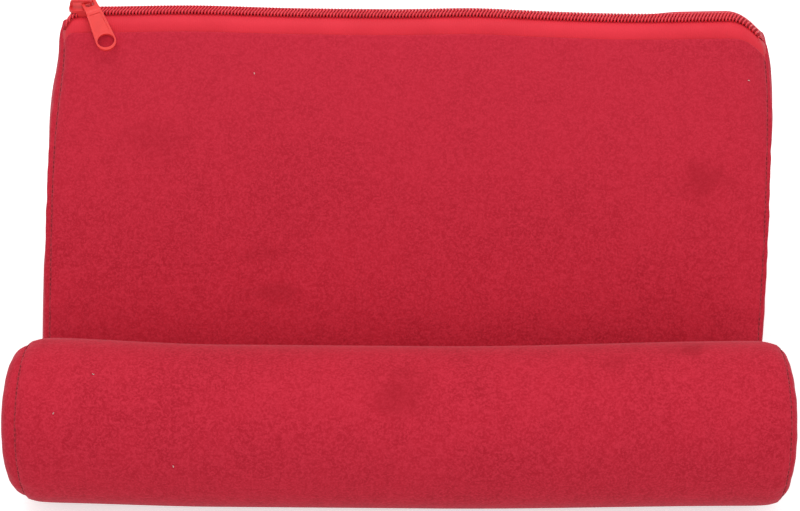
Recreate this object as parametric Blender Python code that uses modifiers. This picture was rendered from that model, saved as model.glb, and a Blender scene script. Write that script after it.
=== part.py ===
"""Tablet cushion stand: a foam wedge in a zipped plush cover, with a foam roll sewn along its front foot.

The tablet leans on the sloping front face and its lower edge rests on the roll.
Frame: metres, +Z up, the user sits towards -Y with +X on the right hand.
The origin is on the floor, at the centre of the cushion's footprint.
"""

from bisect import bisect_right
from math import asin, atan2, cos, pi, radians, sin, sqrt, tan

import bmesh
import bpy
from mathutils import Matrix, Vector

# Wedge
SEAM_WIDTH = 0.274  # between the left and right side seams
RIDGE_HEIGHT = 0.1288  # floor to the plush level at the ridge
BASE_DEPTH = 0.190  # front foot corner to back foot corner, before rounding
FACE_SLOPE = radians(50)  # the tablet face above the floor
RIDGE_WIDTH = 0.015  # ridge front corner to ridge back corner, before rounding
FOOT_RADIUS = 0.005  # front foot edge
RIDGE_RADIUS = 0.007  # both shoulders of the ridge
HEEL_RADIUS = 0.008  # back foot edge
SIDE_CROWN = 0.0042  # how far a side panel stands beyond its seam

# The ridge's ends round downwards, more on the right, where the zip starts
LEFT_CORNER_LENGTH = 0.0045
LEFT_CORNER_DROP = 0.0045
RIGHT_CORNER_LENGTH = 0.014
RIGHT_CORNER_DROP = 0.009
DROP_STARTS_AT = 0.45  # share of the ridge height below which nothing drops

# Roll
ROLL_RADIUS = 0.030
ROLL_CROWN = 0.005  # how far a round end panel stands beyond its seam
FLANGE_THICKNESS = 0.002  # the doubled seam allowance that joins the roll to the wedge

# Cloth and foam
PLUSH = 0.0015
GAP = 0.0003  # between touching pieces
EDGE_SEAM_GAP = 0.0005  # between panels that meet on a rounded edge
FOAM_EDGE = 0.005  # chamfer on the wedge foam's side edges
FOAM_TOP_DROP = 0.0085  # the foam's ridge is cut off this far below the plush level
ROLL_FOAM_EDGE = 0.006

# Zip
ZIP_EXPOSED = 0.0126  # chain centre to the edge of the plush
TAPE_HALF_WIDTH = 0.0145
TAPE_THICKNESS = 0.0006
TAPE_INNER_EDGE = 0.0009  # chain centre to the woven edge of each tape
COIL_HALF_WIDTH = 0.0023
COIL_HEIGHT = 0.0016
COIL_SPINE = 0.0009  # width of the sewn-down back of each coil
TOOTH_PITCH = 0.0013
TOOTH_TIP = 0.0004
CHANNEL = 0.0007  # between the two rows of teeth, for the slider's post

# Slider, along the chain
SLIDER_LENGTH = 0.0096
SLIDER_HALF_WIDTH = 0.0036
PLATE_THICKNESS = 0.0009
SLIDER_CLEARANCE = 0.00025
FLANGE_WIDTH = 0.0006
FLANGE_LENGTH = 0.0053
FLANGE_SETBACK = 0.0014  # the flanges' middle, behind the slider's, which leaves the mouth's sides open
POST_THICKNESS = 0.00045
POST_LENGTH = 0.0028
SLIDER_FROM_SEAM = 0.0085  # the slider's middle, from the left side seam
BRIDGE_LENGTH = 0.0088
BRIDGE_WIDTH = 0.0013
BRIDGE_THICKNESS = 0.0008
BRIDGE_OPENING = 0.0021  # height of the tunnel under the bridge

# Pull tab
TAB_SWIVEL = radians(25)  # the tab hangs askew, towards the right
TAB_ROLL = radians(6)  # its right side stands a little higher
TAB_AXIS_HEIGHT = 0.0010  # cross-bar centre above the slider's top plate, at the bridge's middle
TAB_OFFSET = 0.0028  # tab centreline from the bridge's middle, along the cross-bar
TAB_LENGTH = 0.0240  # cross-bar centre to the tip
TAB_NECK_WIDTH = 0.0058
TAB_NECK_THICKNESS = 0.0009
TAB_EYE_WIDTH = 0.0036
TAB_EYE_LENGTH = 0.0034
CROSS_BAR = 0.0009  # its square section
TAB_BLADE_WIDTH = 0.0061  # at the bend; it widens from there to the round end
TAB_BLADE_THICKNESS = 0.0013
TAB_WEB_THICKNESS = 0.0008  # between the raised rims
TAB_RIM = 0.0008
TAB_END_RADIUS = 0.0039
TAB_HOLE_HALF_LENGTH = 0.0028
TAB_HOLE_HALF_WIDTH = 0.0033
TAB_NECK_TILT = radians(3)  # below level, over the slider's edge
TAB_BEND = radians(30)  # further down, along the face
TAB_BEND_FROM = 0.0060
TAB_BEND_LENGTH = 0.0012

# Fineness of the solids
ARC_STEP = radians(14)
LINE_STEP = 0.020
ROLL_SIDES = 40
DOME_SHARES = (0.012, 0.035, 0.07, 0.12, 0.45, 1.0)  # shares of the way from rim to centre
DOME_RIM_STEP = 0.12  # a dome stands straight out of its seam for this share of its height
DOME_RIM_SHARE = 0.12  # the part of a dome that is its rounded rim
DOME_RIM_HEIGHT = 0.78  # the part of a dome's height that the rim reaches

HALF_SEAM = SEAM_WIDTH / 2
SHEET_END = HALF_SEAM - GAP / 2
SLIDER_REST_X = SLIDER_FROM_SEAM - HALF_SEAM
SIDE_START = HALF_SEAM + GAP / 2
TAPE_DEPTH = PLUSH + GAP
TAPE_TOP = RIDGE_HEIGHT - TAPE_DEPTH
COIL_BASE = TAPE_TOP + GAP
PLATE_TOP = COIL_BASE + COIL_HEIGHT + SLIDER_CLEARANCE + PLATE_THICKNESS
BLADE_FROM = TAB_BEND_FROM + TAB_BEND_LENGTH + 0.0001

PLUSH_RED = (0.58, 0.024, 0.047, 1.0)
TAPE_RED = (0.80, 0.045, 0.078, 1.0)
PAINT_RED = (0.90, 0.085, 0.085, 1.0)
FOAM_WHITE = (0.80, 0.78, 0.70, 1.0)


def turned(vector, angle):
    """A (y, z) vector turned clockwise, as seen from +X with +Y on the right."""
    along, up = vector
    return Vector((along * cos(angle) + up * sin(angle), up * cos(angle) - along * sin(angle)))


class Line:
    """A straight run of the section."""

    def __init__(self, start, end):
        self.start = start
        self.direction = (end - start).normalized()
        self.length = (end - start).length
        self.normal = Vector((-self.direction.y, self.direction.x))
        self.pieces = max(1, round(self.length / LINE_STEP))

    def at(self, distance):
        return self.start + self.direction * distance, self.normal


class Arc:
    """A rounded corner of the section."""

    def __init__(self, centre, radius, first_normal, turn):
        self.centre = centre
        self.radius = radius
        self.first_normal = first_normal
        self.length = radius * turn
        self.pieces = max(1, round(turn / ARC_STEP))

    def at(self, distance):
        normal = turned(self.first_normal, distance / self.radius)
        return self.centre + normal * self.radius, normal


class Section:
    """A rounded polygon in the YZ plane, walked from the middle of its first corner, up the front first."""

    def __init__(self, corners, radii):
        count = len(corners)
        arcs = []
        for i, (corner, radius) in enumerate(zip(corners, radii)):
            arriving = (corner - corners[i - 1]).normalized()
            leaving = (corners[(i + 1) % count] - corner).normalized()
            turn = arriving.angle(leaving)
            normal = Vector((-arriving.y, arriving.x))
            tangent_point = corner - arriving * radius * tan(turn / 2)
            arcs.append((tangent_point - normal * radius, radius, normal, turn))
        self.runs = []
        for i, (centre, radius, normal, turn) in enumerate(arcs):
            half = turn / 2 if i == 0 else turn
            start_normal = turned(normal, turn - half)
            self.runs.append(Arc(centre, radius, start_normal, half))
            next_centre, next_radius, next_normal, _ = arcs[(i + 1) % count]
            start = self.runs[-1].at(half * radius)[0]
            self.runs.append(Line(start, next_centre + next_normal * next_radius))
        centre, radius, normal, turn = arcs[0]
        self.runs.append(Arc(centre, radius, normal, turn / 2))
        self.starts = [0.0]
        for run in self.runs:
            self.starts.append(self.starts[-1] + run.length)
        self.length = self.starts[-1]

    def at(self, distance):
        """The point at a distance along the section, and the outward normal there."""
        i = min(max(bisect_right(self.starts, distance) - 1, 0), len(self.runs) - 1)
        return self.runs[i].at(distance - self.starts[i])

    def middle_of(self, i):
        return self.starts[i] + self.runs[i].length / 2

    def stations(self, first, last):
        """Distances at which a strip from first to last has its edges."""
        margin = GAP
        inside = []
        for start, run in zip(self.starts, self.runs):
            inside += [start + run.length * k / run.pieces for k in range(run.pieces)]
        return [first] + [s for s in inside if first + margin < s < last - margin] + [last]

    def points(self, depth):
        """The closed outline, a depth inside the section."""
        found = [self.at(s) for s in self.stations(0.0, self.length)[:-1]]
        return [point - normal * depth for point, normal in found]


def wedge_corners():
    """Front foot, ridge front, ridge back and back foot, with the footprint centred on Y = 0."""
    ridge_front = RIDGE_HEIGHT / tan(FACE_SLOPE)
    ridge_back = ridge_front + RIDGE_WIDTH
    back_slope = atan2(RIDGE_HEIGHT, BASE_DEPTH - ridge_back)
    back_reach = BASE_DEPTH - HEEL_RADIUS / tan(back_slope / 2) + HEEL_RADIUS
    front_reach = ROLL_TANGENT + ROLL_RADIUS
    shift = (front_reach - back_reach) / 2
    corners = [(0.0, 0.0), (ridge_front, RIDGE_HEIGHT), (ridge_back, RIDGE_HEIGHT), (BASE_DEPTH, 0.0)]
    return [Vector((y + shift, z)) for y, z in corners]


# The roll touches the floor and, but for the gap, the face.
ROLL_TANGENT = (ROLL_RADIUS * (1 - cos(FACE_SLOPE)) + GAP) / sin(FACE_SLOPE)
CORNERS = wedge_corners()
WEDGE = Section(CORNERS, (FOOT_RADIUS, RIDGE_RADIUS, RIDGE_RADIUS, HEEL_RADIUS))
RIDGE_RUN, HEEL_ARC = 3, 6
ZIP_AT = WEDGE.middle_of(RIDGE_RUN)
HEEL_AT = WEDGE.middle_of(HEEL_ARC)
ZIP_Y = WEDGE.at(ZIP_AT)[0].x
ROLL_CENTRE = Vector((CORNERS[0].x - ROLL_TANGENT, ROLL_RADIUS))


def corner_drop(x):
    """How far the ridge has dropped at x: nothing along its straight middle, most at its ends."""
    if x < 0:
        length, drop = LEFT_CORNER_LENGTH, LEFT_CORNER_DROP
    else:
        length, drop = RIGHT_CORNER_LENGTH, RIGHT_CORNER_DROP
    share = (abs(x) - (HALF_SEAM - length)) / length
    return drop * min(max(share, 0.0), 1.0) ** 2


def lower_ridge_ends(mesh):
    """Rounds the ridge's ends downwards. Every piece of the wedge is bent by this one rule, so none meet."""
    foot = DROP_STARTS_AT * RIDGE_HEIGHT
    for vert in mesh.vertices:
        share = min(max((vert.co.z - foot) / (RIDGE_HEIGHT - foot), 0.0), 1.0)
        vert.co.z -= corner_drop(vert.co.x) * share * share * (3 - 2 * share)


def width_stations(low, high):
    """The X positions at which the wedge's strips have edges: close where the ridge drops, none between."""
    left, right = -HALF_SEAM + LEFT_CORNER_LENGTH, HALF_SEAM - RIGHT_CORNER_LENGTH
    found = [left - LEFT_CORNER_LENGTH * share for share in (0.66, 0.33, 0.0)]
    found += [right + RIGHT_CORNER_LENGTH * share for share in (0.0, 0.25, 0.5, 0.75)]
    return [low] + [x for x in found if low < x < high] + [high]


def material(name, colour, roughness, metallic=0.0):
    made = bpy.data.materials.new(name)
    made.use_nodes = True
    shader = made.node_tree.nodes["Principled BSDF"]
    shader.inputs["Base Color"].default_value = colour
    shader.inputs["Roughness"].default_value = roughness
    shader.inputs["Metallic"].default_value = metallic
    made.diffuse_color = colour
    return made


def add_object(name, data, finish, collection):
    made = bpy.data.objects.new(name, data)
    made.data.materials.clear()
    made.data.materials.append(finish)
    collection.objects.link(made)
    return made


def bake(obj):
    """Applies the modifiers, or turns a curve into a mesh with welded caps."""
    bpy.context.view_layer.update()
    evaluated = obj.evaluated_get(bpy.context.evaluated_depsgraph_get())
    mesh = bpy.data.meshes.new_from_object(evaluated)
    name, finish, collection = obj.name, obj.data.materials[0], obj.users_collection[0]
    place = obj.matrix_world.copy()
    bpy.data.objects.remove(obj)
    shell = bmesh.new()
    shell.from_mesh(mesh)
    bmesh.ops.remove_doubles(shell, verts=shell.verts, dist=1e-6)
    shell.to_mesh(mesh)
    shell.free()
    made = add_object(name, mesh, finish, collection)
    made.matrix_world = place
    return made


def outline_object(name, loops, thickness, finish, collection):
    """A flat outline in XY, with holes after the first loop, that is thick about Z = 0."""
    curve = bpy.data.curves.new(name, "CURVE")
    curve.dimensions = "2D"
    curve.fill_mode = "BOTH"
    curve.extrude = thickness / 2
    for loop in loops:
        spline = curve.splines.new("POLY")
        spline.points.add(len(loop) - 1)
        for point, (x, y) in zip(spline.points, loop):
            point.co = (x, y, 0.0, 1.0)
        spline.use_cyclic_u = True
    return bake(add_object(name, curve, finish, collection))


def sheet_object(name, columns, rows, place, thickness, finish, collection):
    """A grid laid out by place(column, row), thickened inwards. Rows or columns that meet are welded."""
    shell = bmesh.new()
    across, along = len(columns), len(rows)
    bmesh.ops.create_grid(shell, x_segments=across - 1, y_segments=along - 1, size=1.0)
    for vert in shell.verts:
        i = round((vert.co.x + 1) / 2 * (across - 1))
        j = round((vert.co.y + 1) / 2 * (along - 1))
        vert.co = place(columns[i], rows[j])
    bmesh.ops.remove_doubles(shell, verts=shell.verts, dist=1e-6)
    mesh = bpy.data.meshes.new(name)
    shell.to_mesh(mesh)
    shell.free()
    made = add_object(name, mesh, finish, collection)
    if thickness:
        solidify = made.modifiers.new("Thickness", "SOLIDIFY")
        solidify.thickness = thickness
        solidify.offset = -1.0
        solidify.use_even_offset = True
        made = bake(made)
    return made


def face_outwards(obj):
    shell = bmesh.new()
    shell.from_mesh(obj.data)
    bmesh.ops.recalc_face_normals(shell, faces=shell.faces)
    shell.to_mesh(obj.data)
    shell.free()


def wedge_strip(name, first, last, depth, thickness, finish, collection):
    """A strip of sheet that follows the wedge's section between the side seams."""

    def place(x, s):
        point, normal = WEDGE.at(s)
        point = point - normal * depth
        return Vector((x, point.x, point.y))

    rows = WEDGE.stations(first, last)
    columns = width_stations(-SHEET_END, SHEET_END)
    made = sheet_object(name, columns, rows, place, thickness, finish, collection)
    lower_ridge_ends(made.data)
    face_outwards(made)
    return made


def dome_rise(share):
    """Height of a stuffed end panel, as a share of its crown, at a share of the way from rim to centre."""
    rim = min(share / DOME_RIM_SHARE, 1.0)
    inner = max(share - DOME_RIM_SHARE, 0.0) / (1 - DOME_RIM_SHARE)
    rounded = sqrt(1 - (1 - rim) ** 2)
    return DOME_RIM_HEIGHT * rounded + (1 - DOME_RIM_HEIGHT) * (1 - (1 - inner) ** 2)


def end_panel(name, outline, centre, side, crown, finish, collection):
    """A panel that closes one end, sewn round its outline and pushed out by the foam."""
    count = len(outline)
    columns = list(range(count + 1))
    if side > 0:
        columns.reverse()

    def place(i, ring):
        share, rise = ring
        rim = outline[i % count]
        point = rim + (centre - rim) * share
        return Vector((side * (SIDE_START + crown * rise), point.x, point.y))

    rings = [(0.0, 0.0), (0.0, DOME_RIM_STEP)] + [(share, dome_rise(share)) for share in DOME_SHARES]
    return sheet_object(name, columns, rings, place, PLUSH, finish, collection)


def cut_across(shell, place):
    """Adds edges where the plane through place, square to its direction, crosses the mesh."""
    whole = shell.verts[:] + shell.edges[:] + shell.faces[:]
    bmesh.ops.bisect_plane(shell, geom=whole, plane_co=place, plane_no=place)


def foam_block(name, rings, finish, collection):
    """A solid block through rings, each an X position and an outline with the same number of points."""
    count = len(rings[0][1])

    def place(i, ring):
        x, outline = ring
        return Vector((x, *outline[i % count]))

    block = sheet_object(name, list(range(count + 1)), rings, place, 0.0, finish, collection)
    shell = bmesh.new()
    shell.from_mesh(block.data)
    bmesh.ops.holes_fill(shell, edges=shell.edges)
    shell.to_mesh(block.data)
    shell.free()
    face_outwards(block)
    return block


def make_wedge_foam(finish, collection):
    """One block of foam. Its ridge is cut off level, which leaves room under the zip's slider."""
    depth = PLUSH + GAP
    half_length = SHEET_END + SIDE_CROWN * DOME_RIM_HEIGHT - PLUSH - 2 * GAP
    full, eased = WEDGE.points(depth), WEDGE.points(depth + FOAM_EDGE)
    inner = half_length - FOAM_EDGE
    stations = width_stations(-inner, inner)
    rings = [(-half_length, eased)] + [(x, full) for x in stations] + [(half_length, eased)]
    foam = foam_block("wedge_foam", rings, finish, collection)
    shell = bmesh.new()
    shell.from_mesh(foam.data)
    whole = shell.verts[:] + shell.edges[:] + shell.faces[:]
    level = Vector((0, 0, RIDGE_HEIGHT - FOAM_TOP_DROP))
    bmesh.ops.bisect_plane(shell, geom=whole, plane_co=level, plane_no=(0, 0, 1), clear_outer=True)
    bmesh.ops.holes_fill(shell, edges=shell.edges)
    for x in stations:
        cut_across(shell, Vector((x, 0, 0)))
    bmesh.ops.triangulate(shell, faces=shell.faces)
    shell.to_mesh(foam.data)
    shell.free()
    lower_ridge_ends(foam.data)
    face_outwards(foam)


def make_roll_foam(finish, collection):
    """A foam cylinder with eased ends."""
    radius = ROLL_RADIUS - PLUSH - GAP
    half_length = SHEET_END + ROLL_CROWN * DOME_RIM_HEIGHT - PLUSH - 2 * GAP
    sizes = [(half_length, radius - ROLL_FOAM_EDGE), (half_length - ROLL_FOAM_EDGE, radius)]
    sizes.insert(1, (half_length - ROLL_FOAM_EDGE * 0.3, radius - ROLL_FOAM_EDGE * 0.3))
    rings = [(x, circle(size, ROLL_CENTRE, ROLL_SIDES)) for x, size in sizes]
    rings = [(-x, outline) for x, outline in rings] + rings[::-1]
    foam_block("roll_foam", rings, finish, collection)


def circle(radius, centre, sides):
    """Points round a centre, walked the same way as the wedge's section."""
    angles = [2 * pi * k / sides for k in range(sides)]
    return [centre + Vector((cos(a), -sin(a))) * radius for a in angles]


def make_roll_cover(finish, collection):
    """The roll's tube. Its seam allowance runs out as a flange to the wedge's front foot edge."""
    half = FLANGE_THICKNESS / 2
    tips = [WEDGE.at(s) for s in (half, WEDGE.length - half)]
    upper_tip, lower_tip = [point + normal * GAP for point, normal in tips]
    upper_root = asin((upper_tip.y - ROLL_RADIUS) / ROLL_RADIUS)
    lower_root = asin((lower_tip.y - ROLL_RADIUS) / ROLL_RADIUS)
    turn = 2 * pi + lower_root - upper_root
    angles = [upper_root + turn * k / ROLL_SIDES for k in range(ROLL_SIDES + 1)]
    outer = [ROLL_CENTRE + Vector((cos(a), sin(a))) * ROLL_RADIUS for a in angles]
    outer += [lower_tip, upper_tip]
    inner = circle(ROLL_RADIUS - PLUSH, ROLL_CENTRE, ROLL_SIDES)
    tube = outline_object("roll_cover", [outer, inner], 2 * SHEET_END, finish, collection)
    # The outline's X and Y become Y and Z, and its thickness runs along X.
    tube.data.transform(Matrix(((0, 0, 1, 0), (1, 0, 0, 0), (0, 1, 0, 0), (0, 0, 0, 1))))
    face_outwards(tube)


def comb_outline(low, high, shift):
    """One coil from above, in X and distance from the chain's centre: a row of teeth on a narrow spine."""
    root = COIL_HALF_WIDTH - COIL_SPINE
    teeth = int((high - low) / TOOTH_PITCH) - 1
    outline = [(low, root)]
    for k in range(teeth):
        x = low + shift + TOOTH_PITCH * (k + 1)
        outline.append((x - TOOTH_TIP / 2, CHANNEL / 2))
        outline.append((x + TOOTH_TIP / 2, CHANNEL / 2))
        outline.append((x + TOOTH_PITCH / 2, root))
    outline.append((high, root))
    return outline + [(high, COIL_HALF_WIDTH), (low, COIL_HALF_WIDTH)]


def make_coil(name, side, finish, collection):
    """One half of the nylon coil chain, on its tape. The other half's teeth stand half a pitch along."""
    shift = TOOTH_PITCH / 8 * (2 * side - 1)
    outline = [(x, side * y) for x, y in comb_outline(-SHEET_END, SHEET_END, shift)]
    coil = outline_object(name, [outline], COIL_HEIGHT, finish, collection)
    shell = bmesh.new()
    shell.from_mesh(coil.data)
    bmesh.ops.dissolve_limit(shell, angle_limit=radians(1), verts=shell.verts, edges=shell.edges)
    for x in width_stations(-SHEET_END, SHEET_END)[1:-1]:
        cut_across(shell, Vector((x, 0, 0)))
    bmesh.ops.triangulate(shell, faces=shell.faces)
    shell.to_mesh(coil.data)
    shell.free()
    coil.data.transform(Matrix.Translation((0.0, ZIP_Y, COIL_BASE + COIL_HEIGHT / 2)))
    lower_ridge_ends(coil.data)
    face_outwards(coil)


def join(base, others):
    """Unites the others into base and removes them."""
    for other in others:
        union = base.modifiers.new("Join", "BOOLEAN")
        union.operation = "UNION"
        union.solver = "EXACT"
        union.object = other
        base = bake(base)
        bpy.data.objects.remove(other)
    return base


def slider_plate_outline():
    """A slider plate from above: broad shoulders at the mouth, on the left, and a narrower tail."""
    half = SLIDER_LENGTH / 2
    broad, narrow = SLIDER_HALF_WIDTH, SLIDER_HALF_WIDTH - 0.0003
    upper = [
        (-half, broad * 0.35),
        (-half * 0.93, broad * 0.72),
        (-half * 0.72, broad * 0.95),
        (-half * 0.42, broad),
        (half * 0.2, narrow),
        (half * 0.88, narrow),
        (half, narrow * 0.8),
    ]
    return upper + [(x, -y) for x, y in reversed(upper)]


def box_object(name, size, centre, finish, collection):
    shell = bmesh.new()
    bmesh.ops.create_cube(shell, size=1.0, matrix=Matrix.Diagonal((*size, 1.0)))
    mesh = bpy.data.meshes.new(name)
    shell.to_mesh(mesh)
    shell.free()
    made = add_object(name, mesh, finish, collection)
    made.location = centre
    return made


def bridge_outline():
    """The slider's bridge in X and height above the plate: a low arch over the tab's cross-bar."""
    steps = 5
    half = BRIDGE_LENGTH / 2
    sunk = PLATE_THICKNESS / 2
    outer_rise = BRIDGE_OPENING + BRIDGE_THICKNESS
    outer_corner, inner_corner = 0.0016, 0.0007
    outer, inner = [(-half, -sunk)], []
    for k in range(steps + 1):
        angle = pi / 2 * k / steps
        outer.append((-half + outer_corner * (1 - cos(angle)), outer_rise - outer_corner * (1 - sin(angle))))
        inner.append(
            (
                -half + BRIDGE_THICKNESS + inner_corner * (1 - cos(angle)),
                BRIDGE_OPENING - inner_corner * (1 - sin(angle)),
            )
        )
    inner.insert(0, (-half + BRIDGE_THICKNESS, -sunk))
    outer += [(-x, z) for x, z in reversed(outer)]
    inner += [(-x, z) for x, z in reversed(inner)]
    return outer + list(reversed(inner))


def make_slider(finish, collection):
    """The cast slider: two plates round the chain, joined by a post at the mouth, and the bridge on top."""
    plate = slider_plate_outline()
    top = outline_object("zip_slider", [plate], PLATE_THICKNESS, finish, collection)
    top.data.transform(Matrix.Translation((0, 0, PLATE_TOP - PLATE_THICKNESS / 2)))
    bottom = outline_object("slider_bottom", [plate], PLATE_THICKNESS, finish, collection)
    bottom_top = TAPE_TOP - TAPE_THICKNESS - SLIDER_CLEARANCE
    bottom.data.transform(Matrix.Translation((0, 0, bottom_top - PLATE_THICKNESS / 2)))
    flange_bottom = TAPE_TOP + SLIDER_CLEARANCE
    flange_height = PLATE_TOP - PLATE_THICKNESS / 2 - flange_bottom
    flange_y = COIL_HALF_WIDTH + SLIDER_CLEARANCE + FLANGE_WIDTH / 2
    flanges = [
        box_object(
            "slider_flange",
            (FLANGE_LENGTH, FLANGE_WIDTH, flange_height),
            (FLANGE_SETBACK, side * flange_y, flange_bottom + flange_height / 2),
            finish,
            collection,
        )
        for side in (-1, 1)
    ]
    post_bottom = bottom_top - PLATE_THICKNESS / 2
    post_height = PLATE_TOP - PLATE_THICKNESS / 2 - post_bottom
    post = box_object(
        "slider_post",
        (POST_LENGTH, POST_THICKNESS, post_height),
        (-SLIDER_LENGTH / 2 + POST_LENGTH / 2 + 0.0004, 0.0, post_bottom + post_height / 2),
        finish,
        collection,
    )
    bridge = outline_object("slider_bridge", [bridge_outline()], BRIDGE_WIDTH, finish, collection)
    # The outline's second axis becomes height, and its thickness runs across the chain.
    bridge.data.transform(Matrix(((1, 0, 0, 0), (0, 0, -1, 0), (0, 1, 0, PLATE_TOP), (0, 0, 0, 1))))
    slider = join(top, flanges + [post, bottom, bridge])
    slider.data.transform(Matrix.Translation((SLIDER_REST_X, ZIP_Y, 0.0)))
    face_outwards(slider)
    return slider


def neck_outline():
    """The flat neck in width and length from the cross-bar. Its far end is let into the blade."""
    half, corner = TAB_NECK_WIDTH / 2, 0.0009
    start, stop = -CROSS_BAR / 2, BLADE_FROM + TAB_RIM / 2
    right = [(half - corner, start), (half, start + corner), (half, stop)]
    return right + [(-x, y) for x, y in reversed(right)]


def eye_outline():
    """The opening that a leg of the bridge stands in."""
    half, ease = TAB_EYE_WIDTH / 2, 0.0007
    near, far = CROSS_BAR / 2, CROSS_BAR / 2 + TAB_EYE_LENGTH
    right = [(half, near), (half, far - ease), (half - ease, far)]
    return right + [(-x, y) for x, y in reversed(right)]


def blade_outline():
    """The blade widens from the bend to a round end."""
    steps = 14
    centre = TAB_LENGTH - TAB_END_RADIUS
    end = [(cos(pi * k / steps), sin(pi * k / steps)) for k in range(steps + 1)]
    half = TAB_BLADE_WIDTH / 2
    outline = [(x * TAB_END_RADIUS, centre + y * TAB_END_RADIUS) for x, y in end]
    return [(half, BLADE_FROM)] + outline + [(-half, BLADE_FROM)]


def web_outline(grow):
    """The sunk part of the blade, between the side rims, the bend and the hole."""
    near = BLADE_FROM + TAB_RIM - grow
    far = TAB_LENGTH - TAB_END_RADIUS - TAB_HOLE_HALF_LENGTH - TAB_RIM + grow
    near_half = TAB_BLADE_WIDTH / 2 - TAB_RIM + grow
    far_half = near_half + (TAB_END_RADIUS - TAB_BLADE_WIDTH / 2) * 0.7
    return [(near_half, near), (far_half, far), (-far_half, far), (-near_half, near)]


def tab_directions():
    """Along the cross-bar, along the neck and out of the neck's upper side, as rows."""
    level_bar = Vector((cos(TAB_SWIVEL), sin(TAB_SWIVEL), 0.0))
    level_neck = Vector((sin(TAB_SWIVEL), -cos(TAB_SWIVEL), 0.0))
    up = Vector((0.0, 0.0, 1.0))
    bar = level_bar * cos(TAB_ROLL) + up * sin(TAB_ROLL)
    side_up = up * cos(TAB_ROLL) - level_bar * sin(TAB_ROLL)
    neck = level_neck * cos(TAB_NECK_TILT) - side_up * sin(TAB_NECK_TILT)
    return Matrix((bar, neck, neck.cross(bar)))


def bend_tab(mesh):
    """Bends the flat tab downwards across its width, over a short arc."""
    radius = TAB_BEND_LENGTH / TAB_BEND
    for vert in mesh.vertices:
        past = vert.co.y - TAB_BEND_FROM
        if past <= 0:
            continue
        angle = min(past / TAB_BEND_LENGTH, 1.0) * TAB_BEND
        straight = max(past - TAB_BEND_LENGTH, 0.0)
        height = vert.co.z
        vert.co.y = TAB_BEND_FROM + (radius + height) * sin(angle) + straight * cos(angle)
        vert.co.z = (radius + height) * cos(angle) - radius - straight * sin(angle)


def make_pull_tab(finish, collection):
    """The pull tab, threaded on the bridge. It hangs over the slider's edge and down along the face."""
    centre = TAB_LENGTH - TAB_END_RADIUS
    ring = circle(1.0, Vector((0.0, 0.0)), 24)
    hole = [(x * TAB_HOLE_HALF_WIDTH, centre + y * TAB_HOLE_HALF_LENGTH) for x, y in ring]
    blade_loops = [blade_outline(), hole, web_outline(0.0)]
    blade = outline_object("zip_pull_tab", blade_loops, TAB_BLADE_THICKNESS, finish, collection)
    neck_loops = [neck_outline(), eye_outline()]
    neck = outline_object("tab_neck", neck_loops, TAB_NECK_THICKNESS, finish, collection)
    web = outline_object("tab_web", [web_outline(TAB_RIM * 0.3)], TAB_WEB_THICKNESS, finish, collection)
    tab = join(blade, [neck, web])
    shell = bmesh.new()
    shell.from_mesh(tab.data)
    for k in range(5):
        cut_across(shell, Vector((0, TAB_BEND_FROM + TAB_BEND_LENGTH * k / 4, 0)))
    bmesh.ops.triangulate(shell, faces=shell.faces)
    shell.to_mesh(tab.data)
    shell.free()
    bend_tab(tab.data)
    origin = Vector((SLIDER_REST_X, ZIP_Y, PLATE_TOP + TAB_AXIS_HEIGHT))
    turn = tab_directions().transposed().to_4x4()
    tab.data.transform(Matrix.Translation(origin) @ turn @ Matrix.Translation((TAB_OFFSET, 0, 0)))
    face_outwards(tab)
    return tab


def main():
    for obj in list(bpy.data.objects):
        bpy.data.objects.remove(obj)
    collection = bpy.data.collections.new("tablet_cushion_stand")
    bpy.context.scene.collection.children.link(collection)
    plush = material("plush", PLUSH_RED, 0.95)
    tape = material("zip_tape", TAPE_RED, 0.75)
    nylon = material("zip_coil", TAPE_RED, 0.45)
    paint = material("zip_paint", PAINT_RED, 0.35)
    foam = material("foam", FOAM_WHITE, 0.95)

    half_gap = EDGE_SEAM_GAP / 2
    wedge_strip("front_panel", half_gap, ZIP_AT - ZIP_EXPOSED, 0.0, PLUSH, plush, collection)
    wedge_strip("back_panel", ZIP_AT + ZIP_EXPOSED, HEEL_AT - half_gap, 0.0, PLUSH, plush, collection)
    wedge_strip("base_panel", HEEL_AT + half_gap, WEDGE.length - half_gap, 0.0, PLUSH, plush, collection)
    for name, first, last in (
        ("zip_tape_front", ZIP_AT - TAPE_HALF_WIDTH, ZIP_AT - TAPE_INNER_EDGE),
        ("zip_tape_back", ZIP_AT + TAPE_INNER_EDGE, ZIP_AT + TAPE_HALF_WIDTH),
    ):
        wedge_strip(name, first, last, TAPE_DEPTH, TAPE_THICKNESS, tape, collection)
    make_coil("zip_coil_front", -1, nylon, collection)
    make_coil("zip_coil_back", 1, nylon, collection)

    outline = WEDGE.points(0.0)
    middle = sum(outline, Vector((0.0, 0.0))) / len(outline)
    middle.y = RIDGE_HEIGHT * 0.36
    for name, side in (("side_panel_left", -1), ("side_panel_right", 1)):
        panel = end_panel(name, outline, middle, side, SIDE_CROWN, plush, collection)
        lower_ridge_ends(panel.data)
        face_outwards(panel)
    roll_outline = circle(ROLL_RADIUS, ROLL_CENTRE, ROLL_SIDES)
    for name, side in (("roll_end_left", -1), ("roll_end_right", 1)):
        end = end_panel(name, roll_outline, ROLL_CENTRE, side, ROLL_CROWN, plush, collection)
        face_outwards(end)
    make_roll_cover(plush, collection)
    make_wedge_foam(foam, collection)
    make_roll_foam(foam, collection)
    make_slider(paint, collection)
    make_pull_tab(paint, collection)


main()
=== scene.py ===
"""Looks of the tablet cushion stand: its plush cover, nylon zip and painted slider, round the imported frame.

Lengths are in metres and in the frame's axes: +Z up, the user sits towards -Y, +X is on the right hand.
"""

from bisect import bisect_right
from math import cos, pi, radians, sin, tan

import bmesh
import bpy
import numpy as np
from mathutils import Matrix, Vector


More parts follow.
